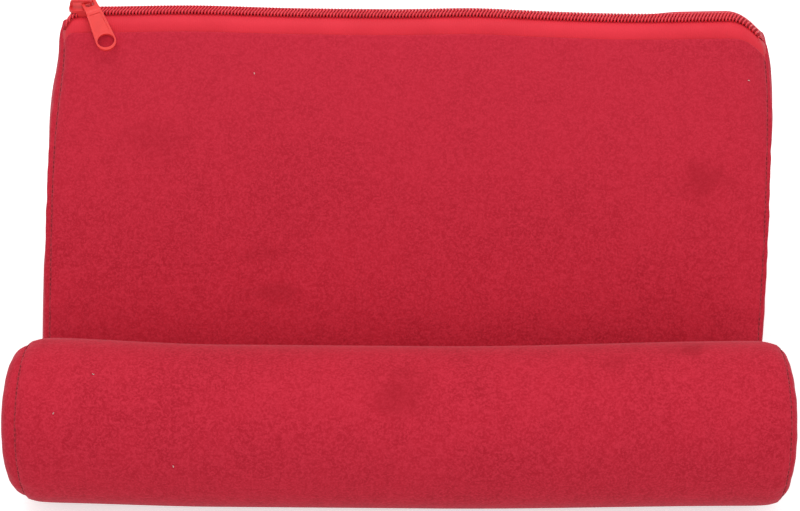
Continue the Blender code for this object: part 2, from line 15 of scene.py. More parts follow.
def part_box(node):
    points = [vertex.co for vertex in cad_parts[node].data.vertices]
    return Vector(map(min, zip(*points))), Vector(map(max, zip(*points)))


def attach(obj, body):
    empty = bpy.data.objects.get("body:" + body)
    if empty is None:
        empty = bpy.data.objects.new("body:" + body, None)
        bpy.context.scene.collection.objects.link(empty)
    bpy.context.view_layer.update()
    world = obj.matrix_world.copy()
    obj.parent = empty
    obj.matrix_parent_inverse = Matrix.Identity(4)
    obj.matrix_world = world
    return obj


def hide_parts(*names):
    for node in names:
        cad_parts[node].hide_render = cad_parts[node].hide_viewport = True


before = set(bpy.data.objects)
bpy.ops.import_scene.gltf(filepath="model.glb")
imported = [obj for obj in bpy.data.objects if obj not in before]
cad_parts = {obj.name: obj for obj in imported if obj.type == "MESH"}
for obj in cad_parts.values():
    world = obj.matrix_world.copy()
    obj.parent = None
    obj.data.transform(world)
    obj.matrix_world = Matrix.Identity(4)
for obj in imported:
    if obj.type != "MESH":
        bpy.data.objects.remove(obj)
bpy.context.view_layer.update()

# Wedge, as the frame has it
GAP = 0.0003
HALF_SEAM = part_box("front_panel")[1].x + GAP / 2
TAPE_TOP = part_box("zip_tape_front")[1].z
ROLL_LOW, ROLL_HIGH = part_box("roll_foam")
PLUSH = 0.0015
RIDGE_HEIGHT = TAPE_TOP + PLUSH + GAP
ROLL_RADIUS = (ROLL_HIGH.z - ROLL_LOW.z) / 2 + PLUSH + GAP
ROLL_Y = (ROLL_LOW.y + ROLL_HIGH.y) / 2
FACE_SLOPE = radians(50)
BASE_DEPTH = 0.190
RIDGE_WIDTH = 0.015
FOOT_RADIUS = 0.005
RIDGE_RADIUS = 0.007
HEEL_RADIUS = 0.008
FOOT_Y = ROLL_Y + (ROLL_RADIUS * (1 - cos(FACE_SLOPE)) + GAP) / sin(FACE_SLOPE)
LEFT_CORNER_LENGTH, LEFT_CORNER_DROP = 0.0045, 0.0045
RIGHT_CORNER_LENGTH, RIGHT_CORNER_DROP = 0.014, 0.009
DROP_STARTS_AT = 0.45

# How the soft cushion has settled
LEAN = 0.0017  # the foot and the roll lie this far to the left of the ridge
# Waves of the ridge: middle, half width and height
RIDGE_HUMPS = ((-0.086, 0.028, 0.0010), (0.024, 0.018, 0.0008), (0.085, 0.033, -0.0012))
BACK_SAG = 0.0030  # the plush behind the zip hangs this much lower, all but at the right end
BACK_SAG_FROM, BACK_SAG_REACH = 0.0022, 0.0040  # how far behind the ridge's middle it starts, and its run
BACK_SAG_END, BACK_SAG_FADE = 0.076, 0.030
# How far each side stands out of straight, from the floor up: share of the height, distance
LEFT_FLARE = (
    (0.00, 0.0012),
    (0.50, 0.0014),
    (0.68, 0.0012),
    (0.79, 0.0002),
    (0.88, -0.0014),
    (0.94, -0.0024),
    (1.00, -0.0012),
)
RIGHT_FLARE = (
    (0.00, -0.0010),
    (0.20, 0.0000),
    (0.50, 0.0022),
    (0.80, 0.0034),
    (0.92, 0.0030),
    (1.00, 0.0012),
)
FACE_CROWN = 0.0022
BACK_CROWN = 0.0030
SIDE_CROWN_LEFT = 0.0042
SIDE_CROWN_RIGHT = 0.0034
SIDE_PUFF = 0.0008  # the ends' plush swells this far past its seam
SIDE_SWELL = 0.0012
STEEP_SHARE = 0.86  # of an end panel's crown, what it rises in its rim
RIM_HELD = 0.0010  # an end panel is held this far in from its seam
ROLL_PUFF = 0.0004
ROLL_GROOVE = 0.0009  # radius at which the roll's plush turns in to its end seams
ROLL_ROUND_REACH = 0.0062  # over this length the tube's ends round off
ROLL_ROUND_DROP = 0.0013
ROLL_SWELL = 0.0010
ROLL_STRETCH = 1.007  # the full roll is a little longer than its seams are apart
ROLL_END_SWELL = 0.0008
PRESS_LIMIT = 0.0040  # how far the face may push the roll's plush in
FLOOR_CLEARANCE = 0.0002
ROLL_END_CROWN_LEFT = 0.0074
ROLL_END_CROWN_RIGHT = 0.0040
# The roll's ends ride up and stand taller: how far, how much taller, and where that starts
ROLL_LIFT_LEFT = (0.0014, 0.0017, 0.068)
ROLL_LIFT_RIGHT = (0.0026, 0.0016, 0.012)

# Seams
SEAM_ROUND = 0.0014  # radius at which the plush turns in to a seam
HEM_RADIUS = 0.0007
HEM_DEPTH = 0.0030
PUCKER_DEPTH = 0.00045
PUCKER_REACH = 0.0060
STITCH_DENT = 0.0002
SEAM_SET_IN = 0.0002  # the end panels and their thread lie this far inside the seams
THREAD_SINK = 0.72  # how deep the thread lies, as a share of the radius at its seam
STITCH_PITCH = 0.0019
STITCH_LENGTH = 0.0011
THREAD_RADIUS = 0.00017
ALLOWANCE_RADIUS = 0.0006  # the plush edges turned in behind the side seams
ALLOWANCE_DEPTH = 0.0006
ALLOWANCE_SET_IN = 0.0003
FOOT_SEAM_HEIGHT = 0.0030  # where the seam allowance leaves the roll
FOOT_SEAM_LAP = 0.0008  # how far it reaches into the roll and under the wedge
FOOT_SEAM_SAG = 0.0005
FOOT_SEAM_THICKNESS = 0.0020

# Zip
ZIP_EXPOSED = 0.0126
TAPE_HALF_WIDTH = 0.0145
TAPE_DEPTH = PLUSH + GAP
TAPE_INNER_EDGE = 0.0009
TAPE_THICKNESS = 0.0005
TAPE_OVERRUN = 0.0008  # the tapes' ends run on under the side panels
TAPE_END_SINK = 0.35  # how deep the tapes' ends turn in, as a share of the plush's depth
TAPE_WAVES = (0.047, 0.021)  # lengths of the tapes' slight waves
TAPE_WAVE_HEIGHT = 0.00012
TAPE_FLAT_REACH = 0.006  # beside the chain the tapes lie flat
TOOTH_PITCH = 0.0013
WIRE_RADIUS = 0.00034
CORD_RADIUS = 0.00050
CORD_OUT, CORD_RISE, CORD_STEP = 0.00115, 0.00098, 0.0020
SEWING_OUT, SEWING_RISE, SEWING_WAVE, SEWING_RADIUS = 0.0015, 0.00166, 0.00012, 0.00013
COIL_OPEN_FROM = -0.1296  # left of this, in the slider's mouth, the two coils part
COIL_PARTING = 0.0052
COIL_END = 0.0012
CHAIN_DRIFT = 0.0028
CHAIN_DRIFT_FROM = 0.1232  # right of the slider's last place

# Pale fibres caught in the pile
LINT_LENGTH = 0.0007
LINT_RADIUS = 0.00016
LINT = {
    "roll_sleeve": ((-0.1123, -0.0901, 0.0595), (-0.1250, -0.1029, 0.0538), (-0.0830, -0.1134, 0.0384)),
    "front_cover": ((0.1316, 0.0238, 0.1120), (-0.0604, 0.0245, 0.1128)),
}

# Fineness
FACE_STEP = 0.0036
BACK_STEP = 0.0048
BORDER_ANGLES = (0.0, 22.5, 45.0, 67.5, 90.0)
CLOTH_FRAMES = 20

# Camera and light
VIEW_DOWN = radians(40)
FOCAL_PIXELS = 1802.0
FRAME_WIDTH = 800.0
FACE_DISTANCE = 0.699
CAMERA_X = 0.003
CAMERA_RISE = 0.0322
PRINCIPAL_X = 416.5
CAMERA_ROLL = radians(0.45)


def smooth_step(share):
    share = np.clip(share, 0.0, 1.0)
    return share * share * (3 - 2 * share)


def smooth_table(value, table):
    """Looks a value up in a short table, with soft bends at the table's entries."""
    at, result = zip(*table)
    offsets = np.linspace(-0.05, 0.05, 5)
    return sum(np.interp(value + offset, at, result) for offset in offsets) / len(offsets)


def turned(vector, angle):
    """A (y, z) vector turned clockwise, as seen from +X with +Y on the right."""
    across = vector.x * cos(angle) + vector.y * sin(angle)
    up = vector.y * cos(angle) - vector.x * sin(angle)
    return Vector((across, up))


class Line:
    """A straight run of the section."""

    def __init__(self, start, end):
        self.start = start
        self.direction = (end - start).normalized()
        self.length = (end - start).length
        self.normal = Vector((-self.direction.y, self.direction.x))

    def at(self, distance):
        return self.start + self.direction * distance, self.normal


class Arc:
    """A rounded corner of the section."""

    def __init__(self, centre, radius, first_normal, turn):
        self.centre = centre
        self.radius = radius
        self.first_normal = first_normal
        self.length = radius * turn

    def at(self, distance):
        normal = turned(self.first_normal, distance / self.radius)
        return self.centre + normal * self.radius, normal


class Section:
    """A rounded polygon in the YZ plane, walked from the middle of its first corner up the front."""

    def __init__(self, corners, radii):
        count = len(corners)
        arcs = []
        for i, (corner, radius) in enumerate(zip(corners, radii)):
            arriving = (corner - corners[i - 1]).normalized()
            leaving = (corners[(i + 1) % count] - corner).normalized()
            turn = arriving.angle(leaving)
            normal = Vector((-arriving.y, arriving.x))
            tangent_point = corner - arriving * radius * tan(turn / 2)
            arcs.append((tangent_point - normal * radius, radius, normal, turn))
        self.runs = []
        for i, (centre, radius, normal, turn) in enumerate(arcs):
            half = turn / 2 if i == 0 else turn
            self.runs.append(Arc(centre, radius, turned(normal, turn - half), half))
            next_centre, next_radius, next_normal, _ = arcs[(i + 1) % count]
            end = next_centre + next_normal * next_radius
            self.runs.append(Line(self.runs[-1].at(half * radius)[0], end))
        centre, radius, normal, turn = arcs[0]
        self.runs.append(Arc(centre, radius, normal, turn / 2))
        self.starts = [0.0]
        for run in self.runs:
            self.starts.append(self.starts[-1] + run.length)
        self.length = self.starts[-1]

    def at(self, distance):
        """The point at a distance along the section, and the outward normal there."""
        i = min(max(bisect_right(self.starts, distance) - 1, 0), len(self.runs) - 1)
        return self.runs[i].at(distance - self.starts[i])

    def middle_of(self, i):
        return self.starts[i] + self.runs[i].length / 2


RIDGE_FRONT_Y = FOOT_Y + RIDGE_HEIGHT / tan(FACE_SLOPE)
WEDGE = Section(
    [
        Vector((FOOT_Y, 0.0)),
        Vector((RIDGE_FRONT_Y, RIDGE_HEIGHT)),
        Vector((RIDGE_FRONT_Y + RIDGE_WIDTH, RIDGE_HEIGHT)),
        Vector((FOOT_Y + BASE_DEPTH, 0.0)),
    ],
    (FOOT_RADIUS, RIDGE_RADIUS, RIDGE_RADIUS, HEEL_RADIUS),
)
RIDGE_RUN, HEEL_ARC = 3, 6
ZIP_AT = WEDGE.middle_of(RIDGE_RUN)
HEEL_AT = WEDGE.middle_of(HEEL_ARC)
ZIP_Y = WEDGE.at(ZIP_AT)[0].x


def settle(points):
    """Bends points of the straight wedge: its ridge waves, its ends drop, its sides flare and it leans."""
    x, y, z = points[..., 0], points[..., 1], points[..., 2]
    left_share = np.clip((-x - HALF_SEAM + LEFT_CORNER_LENGTH) / LEFT_CORNER_LENGTH, 0.0, 1.0)
    right_share = np.clip((x - HALF_SEAM + RIGHT_CORNER_LENGTH) / RIGHT_CORNER_LENGTH, 0.0, 1.0)
    drop = LEFT_CORNER_DROP * left_share**2 + RIGHT_CORNER_DROP * right_share**2
    height = np.clip(z / RIDGE_HEIGHT, 0.0, 1.0)
    hump = sum(rise * np.exp(-(((x - middle) / half) ** 2)) for middle, half, rise in RIDGE_HUMPS)
    behind = smooth_step((y - ZIP_Y - BACK_SAG_FROM) / BACK_SAG_REACH)
    behind = behind * (1 - smooth_step((x - BACK_SAG_END) / BACK_SAG_FADE))
    share = smooth_step((height - DROP_STARTS_AT) / (1 - DROP_STARTS_AT))
    left_flare, right_flare = smooth_table(height, LEFT_FLARE), smooth_table(height, RIGHT_FLARE)
    flare = np.where(x < 0, left_flare, right_flare) * x / HALF_SEAM
    lean = -LEAN * (1 - height)
    return np.stack([x + lean + flare, y, z + share * (hump - drop - BACK_SAG * behind)], axis=-1)


def settle_roll(points):
    """The roll leans with the foot of the wedge, and its ends ride up a little."""
    x, y, z = points[..., 0], points[..., 1], points[..., 2]
    rise = np.zeros_like(z)
    for side, (lift, taller, start) in ((-1, ROLL_LIFT_LEFT), (1, ROLL_LIFT_RIGHT)):
        share = smooth_step((side * x - start) / (HALF_SEAM - start))
        rise += share * (lift + taller * z / (2 * ROLL_RADIUS))
    return np.stack([x * ROLL_STRETCH - LEAN * (1 - ROLL_RADIUS / RIDGE_HEIGHT), y, z + rise], axis=-1)


def stations(low, high, step):
    return list(np.linspace(low, high, max(2, round((high - low) / step) + 1)))


def seam_border(radius=SEAM_ROUND):
    """Distances from a seam at which the plush that turns in to it has rows of points."""
    return [radius * (1 - cos(radians(angle))) for angle in BORDER_ANGLES]


def turn_in(*gaps, radius=SEAM_ROUND):
    """How deep the plush lies below its level, at given distances from the seams round it."""
    reach = sum(np.clip(radius - gap, 0.0, None) ** 2 for gap in gaps)
    return radius - np.sqrt(np.clip(radius**2 - reach, 0.0, None))


def grid_object(name, points, wrap_columns=False, wrap_rows=False, facts=None):
    """A quad mesh over an array of points in rows and columns, with named numbers kept on its points."""
    rows, columns = points.shape[:2]
    row_ends = rows if wrap_rows else rows - 1
    column_ends = columns if wrap_columns else columns - 1
    faces = [
        (
            j * columns + i,
            j * columns + (i + 1) % columns,
            ((j + 1) % rows) * columns + (i + 1) % columns,
            ((j + 1) % rows) * columns + i,
        )
        for j in range(row_ends)
        for i in range(column_ends)
    ]
    mesh = bpy.data.meshes.new(name)
    mesh.from_pydata(points.reshape(-1, 3).tolist(), [], faces)
    for fact, values in (facts or {}).items():
        layer = mesh.attributes.new(fact, "FLOAT", "POINT")
        layer.data.foreach_set("value", np.asarray(values, float).reshape(-1))
    made = bpy.data.objects.new(name, mesh)
    bpy.context.scene.collection.objects.link(made)
    return made


def get_points(mesh):
    flat = np.empty(len(mesh.vertices) * 3)
    mesh.vertices.foreach_get("co", flat)
    return flat.reshape(-1, 3)


def set_points(mesh, points):
    mesh.vertices.foreach_set("co", np.asarray(points, float).reshape(-1))
    mesh.update()


def get_normals(mesh):
    flat = np.empty(len(mesh.vertices) * 3)
    mesh.vertex_normals.foreach_get("vector", flat)
    return flat.reshape(-1, 3)


def get_fact(mesh, fact):
    values = np.empty(len(mesh.vertices))
    mesh.attributes[fact].data.foreach_get("value", values)
    return values


def apply_modifiers(obj):
    bpy.context.view_layer.update()
    evaluated = obj.evaluated_get(bpy.context.evaluated_depsgraph_get())
    mesh = bpy.data.meshes.new_from_object(evaluated)
    obj.modifiers.clear()
    old = obj.data
    obj.data = mesh
    bpy.data.meshes.remove(old)


def inflate(obj, held, swell):
    """Lets cloth that is held along its seams bulge under pressure, by about swell at most."""
    rest = get_points(obj.data)
    group = obj.vertex_groups.new(name="held")
    group.add([int(i) for i in np.flatnonzero(held)], 1.0, "REPLACE")
    cloth = obj.modifiers.new("Cloth", "CLOTH")
    cloth.settings.quality = 5
    cloth.settings.mass = 0.3
    cloth.settings.tension_stiffness = 12
    cloth.settings.compression_stiffness = 12
    cloth.settings.shear_stiffness = 4
    cloth.settings.bending_stiffness = 0.6
    cloth.settings.use_pressure = True
    cloth.settings.uniform_pressure_force = 4
    cloth.settings.vertex_group_mass = "held"
    cloth.settings.effector_weights.gravity = 0
    cloth.point_cache.frame_start = 1
    cloth.point_cache.frame_end = CLOTH_FRAMES
    scene = bpy.context.scene
    for step in range(1, CLOTH_FRAMES + 1):
        scene.frame_set(step)
    evaluated = obj.evaluated_get(bpy.context.evaluated_depsgraph_get())
    moved = get_points(evaluated.data) - rest
    obj.modifiers.clear()
    obj.vertex_groups.clear()
    scene.frame_set(1)
    length = np.linalg.norm(moved, axis=1, keepdims=True)
    set_points(obj.data, rest + moved * swell / np.sqrt(swell**2 + length**2))


def subdivide(obj, levels):
    subsurf = obj.modifiers.new("Fine", "SUBSURF")
    subsurf.levels = levels
    subsurf.render_levels = levels
    apply_modifiers(obj)


def ripple(along, seed, periods=(0.0083, 0.0131, 0.0219)):
    """An uneven wave between 0 and 1 along a seam."""
    chance = np.random.RandomState(seed)
    total = np.zeros_like(along)
    for period in periods:
        total += np.sin(2 * pi * along / period + chance.uniform(0, 2 * pi))
    return 0.5 + total / (2 * len(periods))


def pucker(obj, gap_fact, along_fact, seed):
    """Draws the plush in along a seam: soft folds across it, and a small dent at each stitch."""
    mesh = obj.data
    gap, along = get_fact(mesh, gap_fact), get_fact(mesh, along_fact)
    folds = PUCKER_DEPTH * np.exp(-((gap / PUCKER_REACH) ** 2)) * ripple(along, seed)
    at_stitch = 0.5 + 0.5 * np.cos(2 * pi * along / STITCH_PITCH)
    dent = STITCH_DENT * np.exp(-((gap / SEAM_ROUND) ** 2)) * at_stitch
    set_points(mesh, get_points(mesh) - get_normals(mesh) * (folds + dent)[:, None])


def face_away(obj, centre):
    """Turns the faces so that they look away from a point inside the cushion."""
    shell = bmesh.new()
    shell.from_mesh(obj.data)
    total = 0.0
    for face in shell.faces:
        total += face.normal.dot(face.calc_center_median() - centre) * face.calc_area()
    if total < 0:
        bmesh.ops.reverse_faces(shell, faces=shell.faces)
    shell.to_mesh(obj.data)
    shell.free()


def shade_smooth(obj):
    obj.data.polygons.foreach_set("use_smooth", [True] * len(obj.data.polygons))


WEDGE_MIDDLE = Vector((0.0, FOOT_Y + BASE_DEPTH / 2, RIDGE_HEIGHT * 0.35))


def wedge_panel(name, first, last, step, swell, levels, hem_at=None, seed=1):
    """A plush panel of the wedge. Its edges turn in to the seams, or fold under where the zip tape shows."""
    border = seam_border()
    inner = stations(-HALF_SEAM + SEAM_ROUND, HALF_SEAM - SEAM_ROUND, step)
    xs = [-HALF_SEAM + gap for gap in border[:-1]] + inner + [HALF_SEAM - gap for gap in border[-2::-1]]
    low_border = [] if hem_at == "first" else [first + gap for gap in border[:-1]]
    high_border = [] if hem_at == "last" else [last - gap for gap in border[-2::-1]]
    start = first if hem_at == "first" else first + SEAM_ROUND
    stop = last if hem_at == "last" else last - SEAM_ROUND
    rows = [(s, 0.0, 0.0) for s in low_border + stations(start, stop, step) + high_border]
    hem = []
    for angle in (45, 90, 135, 180):
        hem.append((HEM_RADIUS * sin(radians(angle)), HEM_RADIUS * (1 - cos(radians(angle)))))
    hem.append((-HEM_DEPTH, 2 * HEM_RADIUS))
    if hem_at == "last":
        rows += [(last, along, down) for along, down in hem]
    if hem_at == "first":
        rows = [(first, -along, down) for along, down in hem[::-1]] + rows
    points = np.empty((len(rows), len(xs), 3))
    side_gap = np.empty(points.shape[:2])
    along_seam = np.empty(points.shape[:2])
    end_gap = np.empty(points.shape[:2])
    x_row = np.array(xs)
    for j, (s, along, down) in enumerate(rows):
        point, normal = WEDGE.at(s)
        tangent = Vector((normal.y, -normal.x))
        from_side = HALF_SEAM - np.abs(x_row)
        from_first = np.full(len(xs), 1.0 if hem_at == "first" else s - first)
        from_last = np.full(len(xs), 1.0 if hem_at == "last" else last - s)
        depth = turn_in(from_side, from_first, from_last) + down
        points[j, :, 0] = x_row
        points[j, :, 1] = point.x + tangent.x * along - normal.x * depth
        points[j, :, 2] = point.y + tangent.y * along - normal.y * depth
        side_gap[j] = from_side
        end_gap[j] = np.minimum(from_first, from_last)
        along_seam[j] = s
    facts = {"side_gap": side_gap, "end_gap": end_gap, "along": along_seam}
    facts["across"] = np.broadcast_to(x_row, side_gap.shape)
    panel = grid_object(name, points, facts=facts)
    face_away(panel, WEDGE_MIDDLE)
    if swell:
        held = (side_gap < SEAM_ROUND * 0.9) | (end_gap < SEAM_ROUND * 0.9)
        if hem_at == "last":
            held[-len(hem) - 1 :] = True
        if hem_at == "first":
            held[: len(hem) + 1] = True
        inflate(panel, held.reshape(-1), swell)
    subdivide(panel, levels)
    pucker(panel, "side_gap", "along", seed)
    pucker(panel, "end_gap", "across", seed + 1)
    set_points(panel.data, settle(get_points(panel.data)))
    shade_smooth(panel)
    return panel


def dome(name, outline, centre, side, crown, puff, swell, levels, bend, seed, rim_reach=0.13, power=2.6):
    """A plush end panel, sewn round its outline and crowned. Over rim_reach it rises steeply."""
    shares = (0.0, 0.006, 0.02, 0.045, 0.08, 0.13, 0.20, 0.32, 0.48, 0.66, 0.84, 0.985)
    count = len(outline)
    ring = np.array([[p.x, p.y] for p in outline])
    middle = np.array([centre.x, centre.y])
    points = np.empty((len(shares), count, 3))
    gap = np.empty((len(shares), count))
    around = np.cumsum(np.linalg.norm(ring - np.roll(ring, 1, axis=0), axis=1))
    for j, share in enumerate(shares):
        edge = 1 - min(share / rim_reach, 1.0)
        rise = STEEP_SHARE * (1 - edge**power) ** (1 / power) + (1 - STEEP_SHARE) * (1 - (1 - share) ** 2)
        outward = (ring - middle) / np.linalg.norm(ring - middle, axis=1, keepdims=True)
        points[j, :, 1:] = ring + (middle - ring) * share + outward * puff * sin(pi * (1 - edge))
        points[j, :, 0] = side * (HALF_SEAM - SEAM_SET_IN + crown * rise)
        gap[j] = np.linalg.norm(ring - middle, axis=1) * share
    facts = {"side_gap": gap, "along": np.broadcast_to(around, gap.shape)}
    panel = grid_object(name, points, wrap_columns=True, facts=facts)
    shell = bmesh.new()
    shell.from_mesh(panel.data)
    loops = [e for e in shell.edges if e.is_boundary and abs(e.verts[0].co.x) > HALF_SEAM + crown * 0.5]
    bmesh.ops.contextual_create(shell, geom=loops)
    shell.to_mesh(panel.data)
    shell.free()
    face_away(panel, Vector((0.0, centre.x, centre.y)))
    inflate(panel, get_fact(panel.data, "side_gap") < RIM_HELD, swell)
    subdivide(panel, levels)
    pucker(panel, "side_gap", "along", seed)
    set_points(panel.data, bend(get_points(panel.data)))
    shade_smooth(panel)
    return panel


def wedge_outline(depth, step):
    count = round(WEDGE.length / step)
    found = [WEDGE.at(WEDGE.length * k / count) for k in range(count)]
    return [point - normal * depth for point, normal in found]


def roll_outline(radius, sides):
    angles = [2 * pi * k / sides for k in range(sides)]
    return [Vector((ROLL_Y + radius * cos(a), ROLL_RADIUS + radius * sin(a))) for a in angles]


def press_roll(points):
    """Flattens the roll where it lies on the floor and against the face."""
    points = points.copy()
    points[:, 2] = np.maximum(points[:, 2], FLOOR_CLEARANCE)
    outward = np.array([-sin(FACE_SLOPE), cos(FACE_SLOPE)])
    off = (points[:, 1] - FOOT_Y) * outward[0] + points[:, 2] * outward[1] - GAP
    push = np.clip(-off, 0.0, PRESS_LIMIT)
    points[:, 1] += push * outward[0]
    points[:, 2] += push * outward[1]
    return points


def roll_tube(name, sides=80, step=0.0042, levels=1, seed=21):
    """The roll's plush tube, whose ends round off towards their seams."""
    border = seam_border(ROLL_GROOVE)[:-1] + stations(ROLL_GROOVE, ROLL_ROUND_REACH, 0.0016)
    inner = stations(-HALF_SEAM + ROLL_ROUND_REACH, HALF_SEAM - ROLL_ROUND_REACH, step)
    xs = [-HALF_SEAM + gap for gap in border[:-1]] + inner + [HALF_SEAM - gap for gap in border[-2::-1]]
    x_row = np.array(xs)
    gap = HALF_SEAM - np.abs(x_row)
    rounded = ROLL_ROUND_DROP * np.clip(1 - gap / ROLL_ROUND_REACH, 0.0, 1.0) ** 2
    radius = ROLL_RADIUS - rounded - turn_in(gap, radius=ROLL_GROOVE)
    angles = np.array([2 * pi * k / sides for k in range(sides)])
    points = np.empty((sides, len(xs), 3))
    points[:, :, 0] = x_row
    points[:, :, 1] = ROLL_Y + np.outer(np.cos(angles), radius)
    points[:, :, 2] = ROLL_RADIUS + np.outer(np.sin(angles), radius)
    facts = {
        "side_gap": np.broadcast_to(gap, points.shape[:2]),
        "along": np.broadcast_to((angles * ROLL_RADIUS)[:, None], points.shape[:2]),
    }
    tube = grid_object(name, points, wrap_rows=True, facts=facts)
    face_away(tube, Vector((0.0, ROLL_Y, ROLL_RADIUS)))
    held = np.broadcast_to(gap < ROLL_GROOVE * 1.1, points.shape[:2]).reshape(-1)
    inflate(tube, held, ROLL_SWELL)
    subdivide(tube, levels)
    pucker(tube, "side_gap", "along", seed)
    set_points(tube.data, press_roll(settle_roll(get_points(tube.data))))
    shade_smooth(tube)
    return tube


def chain_drift(x):
    """How far the chain has wandered from the ridge's middle towards the face, at its right end."""
    return CHAIN_DRIFT * smooth_step((x - CHAIN_DRIFT_FROM) / (HALF_SEAM - CHAIN_DRIFT_FROM))


def on_tape(x, side, out, rise):
    """A point of one side's coil, out from the chain's centre line and above the tape.

    Left of the slider's mouth the two coils part.
    """
    parting = COIL_PARTING * np.clip((COIL_OPEN_FROM - x) / (HALF_SEAM + COIL_OPEN_FROM), 0.0, 1.0)
    point, normal = WEDGE.at(ZIP_AT + side * (out + parting) - chain_drift(x))
    return (x, point.x + normal.x * (rise - TAPE_DEPTH), point.y + normal.y * (rise - TAPE_DEPTH))


def strip(name, first, last, depth, thickness, waviness, seed):
    """A strip of tape that follows the section, woven flat but for a slight waviness."""
    xs = stations(-HALF_SEAM - TAPE_OVERRUN, HALF_SEAM + TAPE_OVERRUN, 0.0024)
    rows = stations(first, last, 0.0011)
    points = np.empty((len(rows), len(xs), 3))
    x_row = np.array(xs)
    chance = np.random.RandomState(seed)
    phases = chance.uniform(0, 2 * pi, len(TAPE_WAVES))
    wave = sum(np.sin(2 * pi * x_row / length + phase) for length, phase in zip(TAPE_WAVES, phases))
    sunk = depth + TAPE_END_SINK * turn_in(HALF_SEAM - np.abs(x_row))
    for j, s in enumerate(rows):
        near = 1 - abs(s - ZIP_AT) / TAPE_HALF_WIDTH
        below = sunk - waviness * wave * smooth_step(abs(s - ZIP_AT) / TAPE_FLAT_REACH - 0.5)
        for i, x in enumerate(xs):
            point, normal = WEDGE.at(s - chain_drift(x) * near)
            points[j, i] = (x, point.x - normal.x * below[i], point.y - normal.y * below[i])
    made = grid_object(name, settle(points))
    face_away(made, WEDGE_MIDDLE)
    solidify = made.modifiers.new("Thickness", "SOLIDIFY")
    solidify.thickness = thickness
    solidify.offset = -1
    apply_modifiers(made)
    shade_smooth(made)
    return made


def tube_curve(name, paths, radius, resolution=1, cyclic=False):
    """Threads or wires along lists of points, as one mesh."""
    curve = bpy.data.curves.new(name, "CURVE")
    curve.dimensions = "3D"
    curve.bevel_depth = radius
    curve.bevel_resolution = resolution
    curve.use_fill_caps = True
    for path in paths:
        spline = curve.splines.new("POLY")
        spline.points.add(len(path) - 1)
        flat = np.ones((len(path), 4))
        flat[:, :3] = path
        spline.points.foreach_set("co", flat.reshape(-1))
        spline.use_cyclic_u = cyclic
    made = bpy.data.objects.new(name, curve)
    bpy.context.scene.collection.objects.link(made)
    bpy.context.view_layer.update()
    mesh = bpy.data.meshes.new_from_object(made.evaluated_get(bpy.context.evaluated_depsgraph_get()))
    bpy.data.objects.remove(made)
    tube = bpy.data.objects.new(name, mesh)
    bpy.context.scene.collection.objects.link(tube)
    shade_smooth(tube)
    return tube


# One turn of a coil: share of the pitch, distance from the chain's centre and height above the tape, in mm
COIL_TURN = (
    (0.00, 2.26, 0.95),
    (0.04, 2.12, 0.50),
    (0.10, 1.10, 0.36),
    (0.16, 0.10, 0.38),
    (0.18, -0.32, 0.60),
    (0.20, -0.42, 0.98),
    (0.25, -0.30, 1.32),
    (0.38, 0.25, 1.52),
    (0.62, 1.15, 1.60),
    (0.86, 1.92, 1.46),
    (0.97, 2.22, 1.20),
)


def coil(name, side):
    """One nylon coil, wound with a turn for each tooth. The other coil's turns stand half a pitch along."""
    turns = int(2 * HALF_SEAM / TOOTH_PITCH)
    start = -HALF_SEAM + (0.0 if side < 0 else TOOTH_PITCH / 2)
    points = []
    turn = COIL_TURN if side > 0 else [(-share, out, rise) for share, out, rise in COIL_TURN[::-1]]
    for k in range(turns):
        for share, out, rise in turn:
            x = start + TOOTH_PITCH * (k + share)
            if abs(x) < HALF_SEAM - COIL_END:
                points.append(on_tape(x, side, out * 0.001, rise * 0.001))
    cord_xs = np.arange(start, HALF_SEAM - COIL_END, CORD_STEP)
    cord = [on_tape(x, side, CORD_OUT, CORD_RISE) for x in cord_xs]
    wire = tube_curve(name, [settle(np.array(points))], WIRE_RADIUS)
    core = tube_curve(f"{name}_cord", [settle(np.array(cord))], CORD_RADIUS)
    return wire, core


def coil_thread(name, side):
    """The sewing that holds a coil on its tape: a stitch over each turn."""
    turns = int(2 * HALF_SEAM / TOOTH_PITCH) * 4
    points = []
    for k in range(turns):
        x = -HALF_SEAM + k * TOOTH_PITCH / 4
        points.append(on_tape(x, side, SEWING_OUT, SEWING_RISE + SEWING_WAVE * cos(k * pi / 2)))
    return tube_curve(name, [settle(np.array(points))], SEWING_RADIUS)


def stitches(name, route, pitch=STITCH_PITCH, length=STITCH_LENGTH, radius=THREAD_RADIUS):
    """Short sunk stitches along a route of points."""
    steps = np.linalg.norm(np.diff(route, axis=0), axis=1)
    reach = np.concatenate([[0.0], np.cumsum(steps)])
    paths = []
    for k in range(int(reach[-1] / pitch)):
        at = np.array([k * pitch, k * pitch + length / 2, k * pitch + length])
        at = at[at < reach[-1]]
        if len(at) == 3:
            path = np.stack([np.interp(at, reach, route[:, axis]) for axis in range(3)], axis=-1)
            paths.append(path)
    return tube_curve(name, paths, radius)


def side_seam_route(side, first, last):
    """Along the seam between a side panel and the panels round it."""
    route = []
    for s in stations(first, last, 0.0012):
        point, normal = WEDGE.at(s)
        point = point - normal * (SEAM_ROUND * THREAD_SINK)
        route.append((side * (HALF_SEAM - SEAM_SET_IN), point.x, point.y))
    return settle(np.array(route))


def roll_seam_route(side):
    outline = roll_outline(ROLL_RADIUS - ROLL_ROUND_DROP - ROLL_GROOVE * THREAD_SINK, 160)
    route = np.array([(side * (HALF_SEAM - SEAM_SET_IN), p.x, p.y) for p in outline + outline[:1]])
    return settle_roll(route)


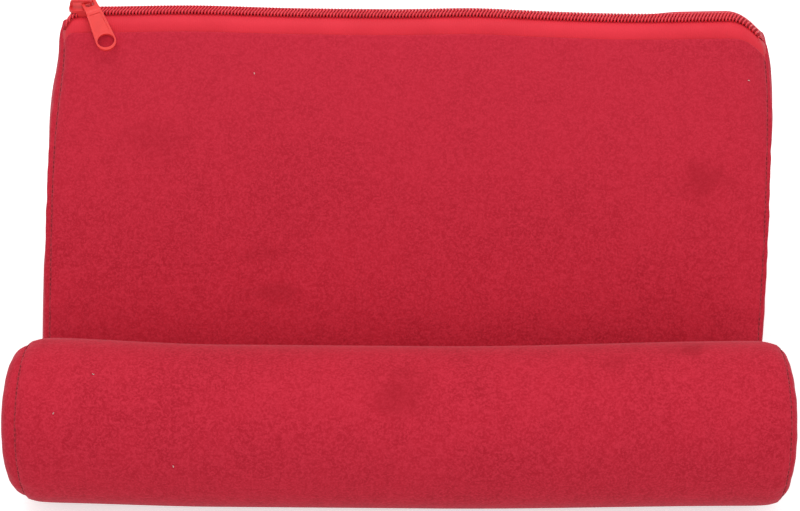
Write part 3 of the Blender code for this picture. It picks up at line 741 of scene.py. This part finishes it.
class Look:
    """A node material with short ways to add what the looks below share."""

    def __init__(self, name):
        self.material = bpy.data.materials.new(name)
        self.material.use_nodes = True
        self.nodes = self.material.node_tree.nodes
        self.links = self.material.node_tree.links
        self.shader = self.nodes["Principled BSDF"]
        self.place = self.nodes.new("ShaderNodeTexCoord").outputs["Object"]

    def set(self, **values):
        for name, value in values.items():
            self.shader.inputs[name.replace("_", " ")].default_value = value

    def join(self, source, target):
        self.links.new(source, target)

    def mapped(self, scale, offset=(0.0, 0.0, 0.0)):
        node = self.nodes.new("ShaderNodeMapping")
        node.inputs["Scale"].default_value = scale
        node.inputs["Location"].default_value = offset
        self.join(self.place, node.inputs["Vector"])
        return node.outputs["Vector"]

    def noise(self, scale, detail=3.0, roughness=0.5, vector=None, distortion=0.0):
        node = self.nodes.new("ShaderNodeTexNoise")
        node.inputs["Scale"].default_value = scale
        node.inputs["Detail"].default_value = detail
        node.inputs["Roughness"].default_value = roughness
        node.inputs["Distortion"].default_value = distortion
        self.join(vector or self.place, node.inputs["Vector"])
        return node.outputs["Fac"]

    def spread(self, source, low, high, to_low=0.0, to_high=1.0):
        node = self.nodes.new("ShaderNodeMapRange")
        node.interpolation_type = "SMOOTHSTEP"
        for name, value in (("From Min", low), ("From Max", high), ("To Min", to_low), ("To Max", to_high)):
            node.inputs[name].default_value = value
        self.join(source, node.inputs["Value"])
        return node.outputs["Result"]

    def math(self, operation, first, second):
        node = self.nodes.new("ShaderNodeMath")
        node.operation = operation
        for socket, value in zip(node.inputs, (first, second)):
            if isinstance(value, (int, float)):
                socket.default_value = value
            else:
                self.join(value, socket)
        return node.outputs["Value"]


def mix_colours(look, share, first, second):
    """Mixes two colours, each a tuple or a socket, by a share."""
    node = look.nodes.new("ShaderNodeMix")
    node.data_type = "RGBA"
    factor = node.inputs[0]
    sockets = [s for s in node.inputs if s.type == "RGBA"]
    look.join(share, factor)
    for socket, value in zip(sockets, (first, second)):
        if isinstance(value, tuple):
            socket.default_value = value
        else:
            look.join(value, socket)
    return [s for s in node.outputs if s.type == "RGBA"][0]


def add_bump(look, height, strength, distance):
    node = look.nodes.new("ShaderNodeBump")
    node.inputs["Strength"].default_value = strength
    node.inputs["Distance"].default_value = distance
    look.join(height, node.inputs["Height"])
    look.join(node.outputs["Normal"], look.shader.inputs["Normal"])


# Where hands have turned the pile: centre, half sizes and how much darker, in the frame's axes
NAP_MARKS = (
    ((-0.0030, -0.0935, 0.0587), (0.0140, 0.0120, 0.0110), 0.45),
    ((0.1026, -0.0768, 0.0590), (0.0100, 0.0080, 0.0070), 0.60),
    ((0.1130, -0.0017, 0.0817), (0.0125, 0.0085, 0.0090), 0.45),
    ((-0.0538, -0.0296, 0.0483), (0.0140, 0.0060, 0.0050), 0.40),
    ((-0.0569, -0.0201, 0.0597), (0.0120, 0.0060, 0.0050), 0.25),
    ((-0.1000, 0.0060, 0.0920), (0.0140, 0.0100, 0.0100), 0.20),
    ((0.0750, -0.0846, 0.0600), (0.0080, 0.0060, 0.0060), 0.30),
)


def plush_look(name, marks=()):
    """Short crimson pile: fine speckle, streaks along the face, cloudy nap, darker hand marks, and painted
    light that brightens it towards the top.
    """
    look = Look(name)
    look.set(Roughness=0.92, Specular_IOR_Level=0.15, Sheen_Weight=0.22, Sheen_Roughness=0.34)
    look.set(Sheen_Tint=(1.0, 0.62, 0.70, 1.0))
    dark = (0.390, 0.0090, 0.0225, 1.0)
    middle = (0.520, 0.0152, 0.0350, 1.0)
    bright = (0.670, 0.0315, 0.0620, 1.0)
    turned_pile = (0.375, 0.0100, 0.0215, 1.0)
    speckle = look.noise(1100.0, 2.0, 0.75)
    tuft = look.noise(420.0, 2.0, 0.6)
    streak = look.noise(260.0, 3.0, 0.6, look.mapped((1.0, 0.3, 0.3)))
    nap = look.noise(75.0, 4.0, 0.62, distortion=0.8)
    patch = look.noise(19.0, 3.0, 0.55, distortion=0.5)
    colour = mix_colours(look, look.spread(nap, 0.38, 0.66, 0.0, 0.30), middle, dark)
    colour = mix_colours(look, look.spread(patch, 0.45, 0.72, 0.0, 0.50), colour, dark)
    colour = mix_colours(look, look.spread(streak, 0.40, 0.75, 0.0, 0.32), colour, dark)
    colour = mix_colours(look, look.spread(tuft, 0.42, 0.70, 0.0, 0.36), colour, bright)
    colour = mix_colours(look, look.spread(speckle, 0.40, 0.66, 0.0, 0.70), colour, bright)
    # Painted light: the pile is mixed towards the bright tone with height, standing in for the light that
    # falls on it from above.
    height = look.nodes.new("ShaderNodeSeparateXYZ")
    look.join(look.place, height.inputs[0])
    colour = mix_colours(look, look.spread(height.outputs["Z"], 0.040, 0.135, 0.0, 0.34), colour, bright)
    for centre, half, darkness in marks:
        offset = tuple(-c / h for c, h in zip(centre, half))
        near = look.nodes.new("ShaderNodeVectorMath")
        near.operation = "LENGTH"
        look.join(look.mapped(tuple(1 / h for h in half), offset=offset), near.inputs[0])
        cloud = look.math("MULTIPLY", look.noise(70.0, 5.0, 0.65), 2.4)
        share = look.spread(look.math("ADD", near.outputs["Value"], cloud), 1.45, 2.35, darkness, 0.0)
        colour = mix_colours(look, share, colour, turned_pile)
    look.join(colour, look.shader.inputs["Base Color"])
    pile = look.math("ADD", look.math("MULTIPLY", speckle, 0.5), look.math("MULTIPLY", tuft, 0.5))
    add_bump(look, pile, 0.55, 0.0006)
    return look.material


def tape_look(name):
    """Smooth bright red tape with a fine weave."""
    look = Look(name)
    look.set(Roughness=0.70, Specular_IOR_Level=0.35, Sheen_Weight=0.10, Sheen_Roughness=0.4)
    ribs = look.nodes.new("ShaderNodeTexWave")
    ribs.wave_type = "BANDS"
    ribs.bands_direction = "X"
    ribs.inputs["Scale"].default_value = 420.0
    ribs.inputs["Distortion"].default_value = 0.6
    look.join(look.place, ribs.inputs["Vector"])
    cloud = look.noise(60.0, 2.0)
    deep = (0.765, 0.0200, 0.0420, 1.0)
    bright = (0.830, 0.0250, 0.0500, 1.0)
    colour = mix_colours(look, look.spread(cloud, 0.3, 0.7), deep, bright)
    look.join(colour, look.shader.inputs["Base Color"])
    add_bump(look, ribs.outputs["Fac"], 0.35, 0.0002)
    return look.material


def nylon_look(name, colour, deep):
    """Dyed monofilament, a little glossy."""
    look = Look(name)
    look.set(Roughness=0.38, Specular_IOR_Level=0.5)
    vary = look.noise(300.0, 2.0)
    mixed = mix_colours(look, look.spread(vary, 0.35, 0.65), colour, deep)
    look.join(mixed, look.shader.inputs["Base Color"])
    add_bump(look, look.noise(2500.0, 2.0), 0.15, 0.0001)
    return look.material


def thread_look(name, colour):
    look = Look(name)
    look.set(Roughness=0.8)
    vary = look.noise(1500.0, 2.0)
    shade = tuple(channel * 0.6 for channel in colour[:3]) + (1.0,)
    mixed = mix_colours(look, look.spread(vary, 0.35, 0.65), colour, shade)
    look.join(mixed, look.shader.inputs["Base Color"])
    add_bump(look, vary, 0.4, 0.0001)
    return look.material


def paint_look(name, bright, deep):
    """Gloss enamel over a casting."""
    look = Look(name)
    look.set(Roughness=0.36, Specular_IOR_Level=0.3, Coat_Weight=0.08, Coat_Roughness=0.15)
    vary = look.noise(180.0, 3.0)
    mixed = mix_colours(look, look.spread(vary, 0.35, 0.7), bright, deep)
    look.join(mixed, look.shader.inputs["Base Color"])
    rough = look.spread(look.noise(700.0, 3.0), 0.3, 0.7, 0.32, 0.46)
    look.join(rough, look.shader.inputs["Roughness"])
    add_bump(look, look.noise(500.0, 2.0), 0.12, 0.0002)
    return look.material


def foam_look(name):
    look = Look(name)
    look.set(Roughness=0.95)
    cells = look.noise(1200.0, 3.0)
    mixed = mix_colours(look, look.spread(cells, 0.3, 0.7), (0.66, 0.62, 0.50, 1.0), (0.84, 0.81, 0.72, 1.0))
    look.join(mixed, look.shader.inputs["Base Color"])
    add_bump(look, cells, 0.5, 0.0004)
    return look.material


def dress(obj, material, slot, body, *nodes):
    obj.data.materials.clear()
    obj.data.materials.append(material)
    if nodes:
        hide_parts(*nodes)
    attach(obj, body)


def build_cover():
    plush_marked = plush_look("plush_marked", NAP_MARKS)
    plush = plush_look("plush")
    front = wedge_panel(
        "front_cover", 0.0, ZIP_AT - ZIP_EXPOSED, FACE_STEP, FACE_CROWN, 2, hem_at="last", seed=3
    )
    dress(front, plush_marked, "plush", "cushion", "front_panel", "wedge_foam")
    back = wedge_panel(
        "back_cover", ZIP_AT + ZIP_EXPOSED, HEEL_AT, BACK_STEP, BACK_CROWN, 2, hem_at="first", seed=5
    )
    dress(back, plush, "plush", "cushion", "back_panel")
    base = wedge_panel("base_cover", HEEL_AT, WEDGE.length, BACK_STEP, 0.0, 1, seed=7)
    dress(base, plush, "plush", "cushion", "base_panel")
    rim = wedge_outline(SEAM_ROUND, 0.004)
    middle = Vector((FOOT_Y + BASE_DEPTH * 0.52, RIDGE_HEIGHT * 0.36))
    for name, side, crown in (("left", -1, SIDE_CROWN_LEFT), ("right", 1, SIDE_CROWN_RIGHT)):
        panel = dome(
            f"side_cover_{name}", rim, middle, side, crown, SIDE_PUFF, SIDE_SWELL, 2, settle, 9 + side
        )
        dress(panel, plush, "plush", "cushion", f"side_panel_{name}")
    tube = roll_tube("roll_sleeve")
    dress(tube, plush_marked, "plush", "cushion", "roll_cover", "roll_foam")
    rim = roll_outline(ROLL_RADIUS - ROLL_ROUND_DROP - ROLL_GROOVE, 80)
    middle = Vector((ROLL_Y, ROLL_RADIUS))
    for name, side, crown in (("left", -1, ROLL_END_CROWN_LEFT), ("right", 1, ROLL_END_CROWN_RIGHT)):
        seed = 14 + side
        cap = dome(
            f"roll_cap_{name}", rim, middle, side, crown, ROLL_PUFF, ROLL_END_SWELL, 1, settle_roll, seed,
            rim_reach=0.36, power=2.1,
        )
        dress(cap, plush, "plush", "cushion", f"roll_end_{name}")


def build_foot_seam():
    """The doubled seam allowance that joins the roll to the wedge's foot."""
    foot = WEDGE.at(0.0)[0]
    start_z = FOOT_SEAM_HEIGHT
    start_y = ROLL_Y + (ROLL_RADIUS**2 - (ROLL_RADIUS - start_z) ** 2) ** 0.5 - FOOT_SEAM_LAP
    xs = np.array(stations(-HALF_SEAM + 0.001, HALF_SEAM - 0.001, 0.004))
    rows = np.linspace(0.0, 1.0, 6)
    points = np.empty((len(rows), len(xs), 3))
    for j, share in enumerate(rows):
        sag = FOOT_SEAM_SAG * sin(pi * share)
        points[j, :, 0] = xs
        points[j, :, 1] = start_y + (foot.x + FOOT_SEAM_LAP - start_y) * share
        points[j, :, 2] = start_z + (foot.y - start_z) * share - sag
    seam = grid_object("foot_seam", settle(points))
    solidify = seam.modifiers.new("Thickness", "SOLIDIFY")
    solidify.thickness = FOOT_SEAM_THICKNESS
    solidify.offset = 0
    apply_modifiers(seam)
    shade_smooth(seam)
    dress(seam, bpy.data.materials["plush"], "plush", "cushion")


def build_zip():
    tape = tape_look("zip_tape")
    nylon = nylon_look("zip_nylon", (0.95, 0.046, 0.070, 1.0), (0.84, 0.032, 0.052, 1.0))
    thread = thread_look("zip_thread", (0.62, 0.026, 0.045, 1.0))
    for name, side in (("front", -1), ("back", 1)):
        ends = sorted((ZIP_AT + side * TAPE_HALF_WIDTH, ZIP_AT + side * TAPE_INNER_EDGE))
        band = strip(
            f"tape_{name}", ends[0], ends[1], TAPE_DEPTH, TAPE_THICKNESS, TAPE_WAVE_HEIGHT, 31 + side
        )
        dress(band, tape, "zip_tape", "cushion", f"zip_tape_{name}")
        wound, cord = coil(f"coil_{name}", side)
        dress(wound, nylon, "zip_coil", "cushion", f"zip_coil_{name}")
        dress(cord, thread, "zip_coil", "cushion")
        sewn = coil_thread(f"coil_thread_{name}", side)
        dress(sewn, thread, "zip_coil", "cushion")


def build_stitches():
    dark = thread_look("seam_thread", (0.38, 0.011, 0.025, 1.0))
    routes = {
        "stitches_front_left": side_seam_route(-1, 0.012, ZIP_AT - ZIP_EXPOSED),
        "stitches_front_right": side_seam_route(1, 0.012, ZIP_AT - ZIP_EXPOSED),
        "stitches_back_left": side_seam_route(-1, ZIP_AT + ZIP_EXPOSED, HEEL_AT),
        "stitches_back_right": side_seam_route(1, ZIP_AT + ZIP_EXPOSED, HEEL_AT),
        "stitches_roll_left": roll_seam_route(-1),
        "stitches_roll_right": roll_seam_route(1),
    }
    for name, route in routes.items():
        dress(stitches(name, route), dark, "plush", "cushion")


def build_allowances():
    """The plush edges turned in behind the side seams."""
    plush = bpy.data.materials["plush"]
    around_wedge = []
    for s in stations(ZIP_AT + ZIP_EXPOSED, WEDGE.length + ZIP_AT - ZIP_EXPOSED, 0.0016):
        point, normal = WEDGE.at(s % WEDGE.length)
        around_wedge.append(point - normal * (SEAM_ROUND + ALLOWANCE_DEPTH))
    around_roll = roll_outline(ROLL_RADIUS - ROLL_ROUND_DROP - ROLL_GROOVE - ALLOWANCE_DEPTH, 120)
    for name, side in (("left", -1), ("right", 1)):
        for form, outline, bend, closed in (
            ("wedge", around_wedge, settle, False),
            ("roll", around_roll, settle_roll, True),
        ):
            route = bend(np.array([(side * (HALF_SEAM - ALLOWANCE_SET_IN), p.x, p.y) for p in outline]))
            turned_in = tube_curve(f"allowance_{form}_{name}", [route], ALLOWANCE_RADIUS, 2, closed)
            dress(turned_in, plush, "plush", "cushion")


def build_lint():
    """A few pale fibres caught in the pile."""
    chance = np.random.RandomState(51)
    paths = []
    for carrier, places in LINT.items():
        plush = bpy.data.objects[carrier]
        for place in places:
            _, spot, normal, _ = plush.closest_point_on_mesh(Vector(place))
            along = normal.orthogonal().normalized()
            along.rotate(Matrix.Rotation(chance.uniform(0, pi), 3, normal))
            spot += normal * LINT_RADIUS
            sideways = normal.cross(along) * LINT_LENGTH * 0.2
            paths.append([spot - along * LINT_LENGTH / 2, spot + sideways, spot + along * LINT_LENGTH / 2])
    lint = tube_curve("lint", paths, LINT_RADIUS)
    dress(lint, thread_look("lint", (0.86, 0.62, 0.58, 1.0)), "plush", "cushion")


def finish_castings():
    """The slider and its tab keep their frame shapes, with eased edges and one red enamel, in a darker copy
    on the slider for painted shade and a brighter copy on the tab for painted light.
    """
    # One enamel in two copies: the slider's is deeper red as painted shade, the tab's brighter as painted
    # light, for how each faces the lamps.
    slider_paint_shaded = paint_look("slider_enamel_shaded", (0.820, 0.040, 0.044, 1.0), (0.700, 0.030, 0.036, 1.0))
    tab_paint_lit = paint_look("tab_enamel_lit", (0.900, 0.054, 0.048, 1.0), (0.840, 0.046, 0.043, 1.0))
    for name, width, paint in (("zip_slider", 0.00028, slider_paint_shaded), ("zip_pull_tab", 0.00022, tab_paint_lit)):
        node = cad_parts[name]
        bevel = node.modifiers.new("Eased edges", "BEVEL")
        bevel.width = width
        bevel.segments = 3
        bevel.limit_method = "ANGLE"
        bevel.angle_limit = radians(35)
        bevel.use_clamp_overlap = True
        node.data.materials.clear()
        node.data.materials.append(paint)
        node.data.polygons.foreach_set("use_smooth", [True] * len(node.data.polygons))
    foam = foam_look("foam")
    for name in ("wedge_foam", "roll_foam"):
        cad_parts[name].data.materials.clear()
        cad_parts[name].data.materials.append(foam)


def build_floor():
    bpy.ops.mesh.primitive_plane_add(size=8.0, location=(0.0, 1.0, -FLOOR_CLEARANCE))
    floor = bpy.context.object
    floor.name = "floor"
    material = bpy.data.materials.new("floor")
    material.use_nodes = True
    nodes, links = material.node_tree.nodes, material.node_tree.links
    nodes.clear()
    output = nodes.new("ShaderNodeOutputMaterial")
    matte = nodes.new("ShaderNodeBsdfDiffuse")
    matte.inputs["Color"].default_value = (0.80, 0.80, 0.80, 1.0)
    white = nodes.new("ShaderNodeEmission")
    white.inputs["Color"].default_value = (1.0, 1.0, 1.0, 1.0)
    white.inputs["Strength"].default_value = 0.55
    added = nodes.new("ShaderNodeAddShader")
    path = nodes.new("ShaderNodeLightPath")
    seen = nodes.new("ShaderNodeMath")
    seen.operation = "MAXIMUM"
    pick = nodes.new("ShaderNodeMixShader")
    links.new(path.outputs["Is Camera Ray"], seen.inputs[0])
    links.new(path.outputs["Is Glossy Ray"], seen.inputs[1])
    links.new(matte.outputs["BSDF"], added.inputs[0])
    links.new(white.outputs["Emission"], added.inputs[1])
    links.new(seen.outputs["Value"], pick.inputs["Fac"])
    links.new(matte.outputs["BSDF"], pick.inputs[1])
    links.new(added.outputs["Shader"], pick.inputs[2])
    links.new(pick.outputs["Shader"], output.inputs["Surface"])
    floor.data.materials.append(material)


def add_lamp(name, place, target, size, watts):
    lamp = bpy.data.lights.new(name, "AREA")
    lamp.shape = "SQUARE"
    lamp.size = size
    lamp.energy = watts
    made = bpy.data.objects.new(name, lamp)
    bpy.context.scene.collection.objects.link(made)
    made.location = place
    made.rotation_euler = (Vector(target) - Vector(place)).to_track_quat("-Z", "Y").to_euler()


def light_scene():
    world = bpy.data.worlds.new("studio")
    bpy.context.scene.world = world
    world.use_nodes = True
    background = world.node_tree.nodes["Background"]
    background.inputs["Color"].default_value = (1.0, 1.0, 1.0, 1.0)
    background.inputs["Strength"].default_value = 0.62
    add_lamp("overhead", (-0.15, 0.35, 1.5), (0.0, 0.0, 0.05), 1.2, 9.0)
    add_lamp("front_fill", (0.2, -1.3, 0.9), (0.0, 0.0, 0.06), 1.4, 5.0)


def add_camera():
    """At the photograph's angle: square on to the sloping face."""
    level = Vector((0.0, cos(VIEW_DOWN), -sin(VIEW_DOWN)))
    rise = Vector((0.0, sin(VIEW_DOWN), cos(VIEW_DOWN)))
    foot = Vector((0.0, FOOT_Y, 0.0))
    data = bpy.data.cameras.new("camera")
    data.sensor_width = 36.0
    data.lens = FOCAL_PIXELS / FRAME_WIDTH * data.sensor_width
    data.shift_x = (FRAME_WIDTH / 2 - PRINCIPAL_X) / FRAME_WIDTH
    camera = bpy.data.objects.new("camera", data)
    bpy.context.scene.collection.objects.link(camera)
    back_off = level * (foot.dot(level) - FACE_DISTANCE)
    camera.location = back_off + rise * CAMERA_RISE + Vector((CAMERA_X, 0.0, 0.0))
    facing = Matrix.Rotation(pi / 2 - VIEW_DOWN, 4, "X") @ Matrix.Rotation(CAMERA_ROLL, 4, "Z")
    camera.rotation_euler = facing.to_euler()
    bpy.context.scene.camera = camera


build_cover()
build_foot_seam()
build_zip()
build_stitches()
build_allowances()
build_lint()
finish_castings()
build_floor()
light_scene()
add_camera()
bpy.context.scene.view_settings.view_transform = "Standard"
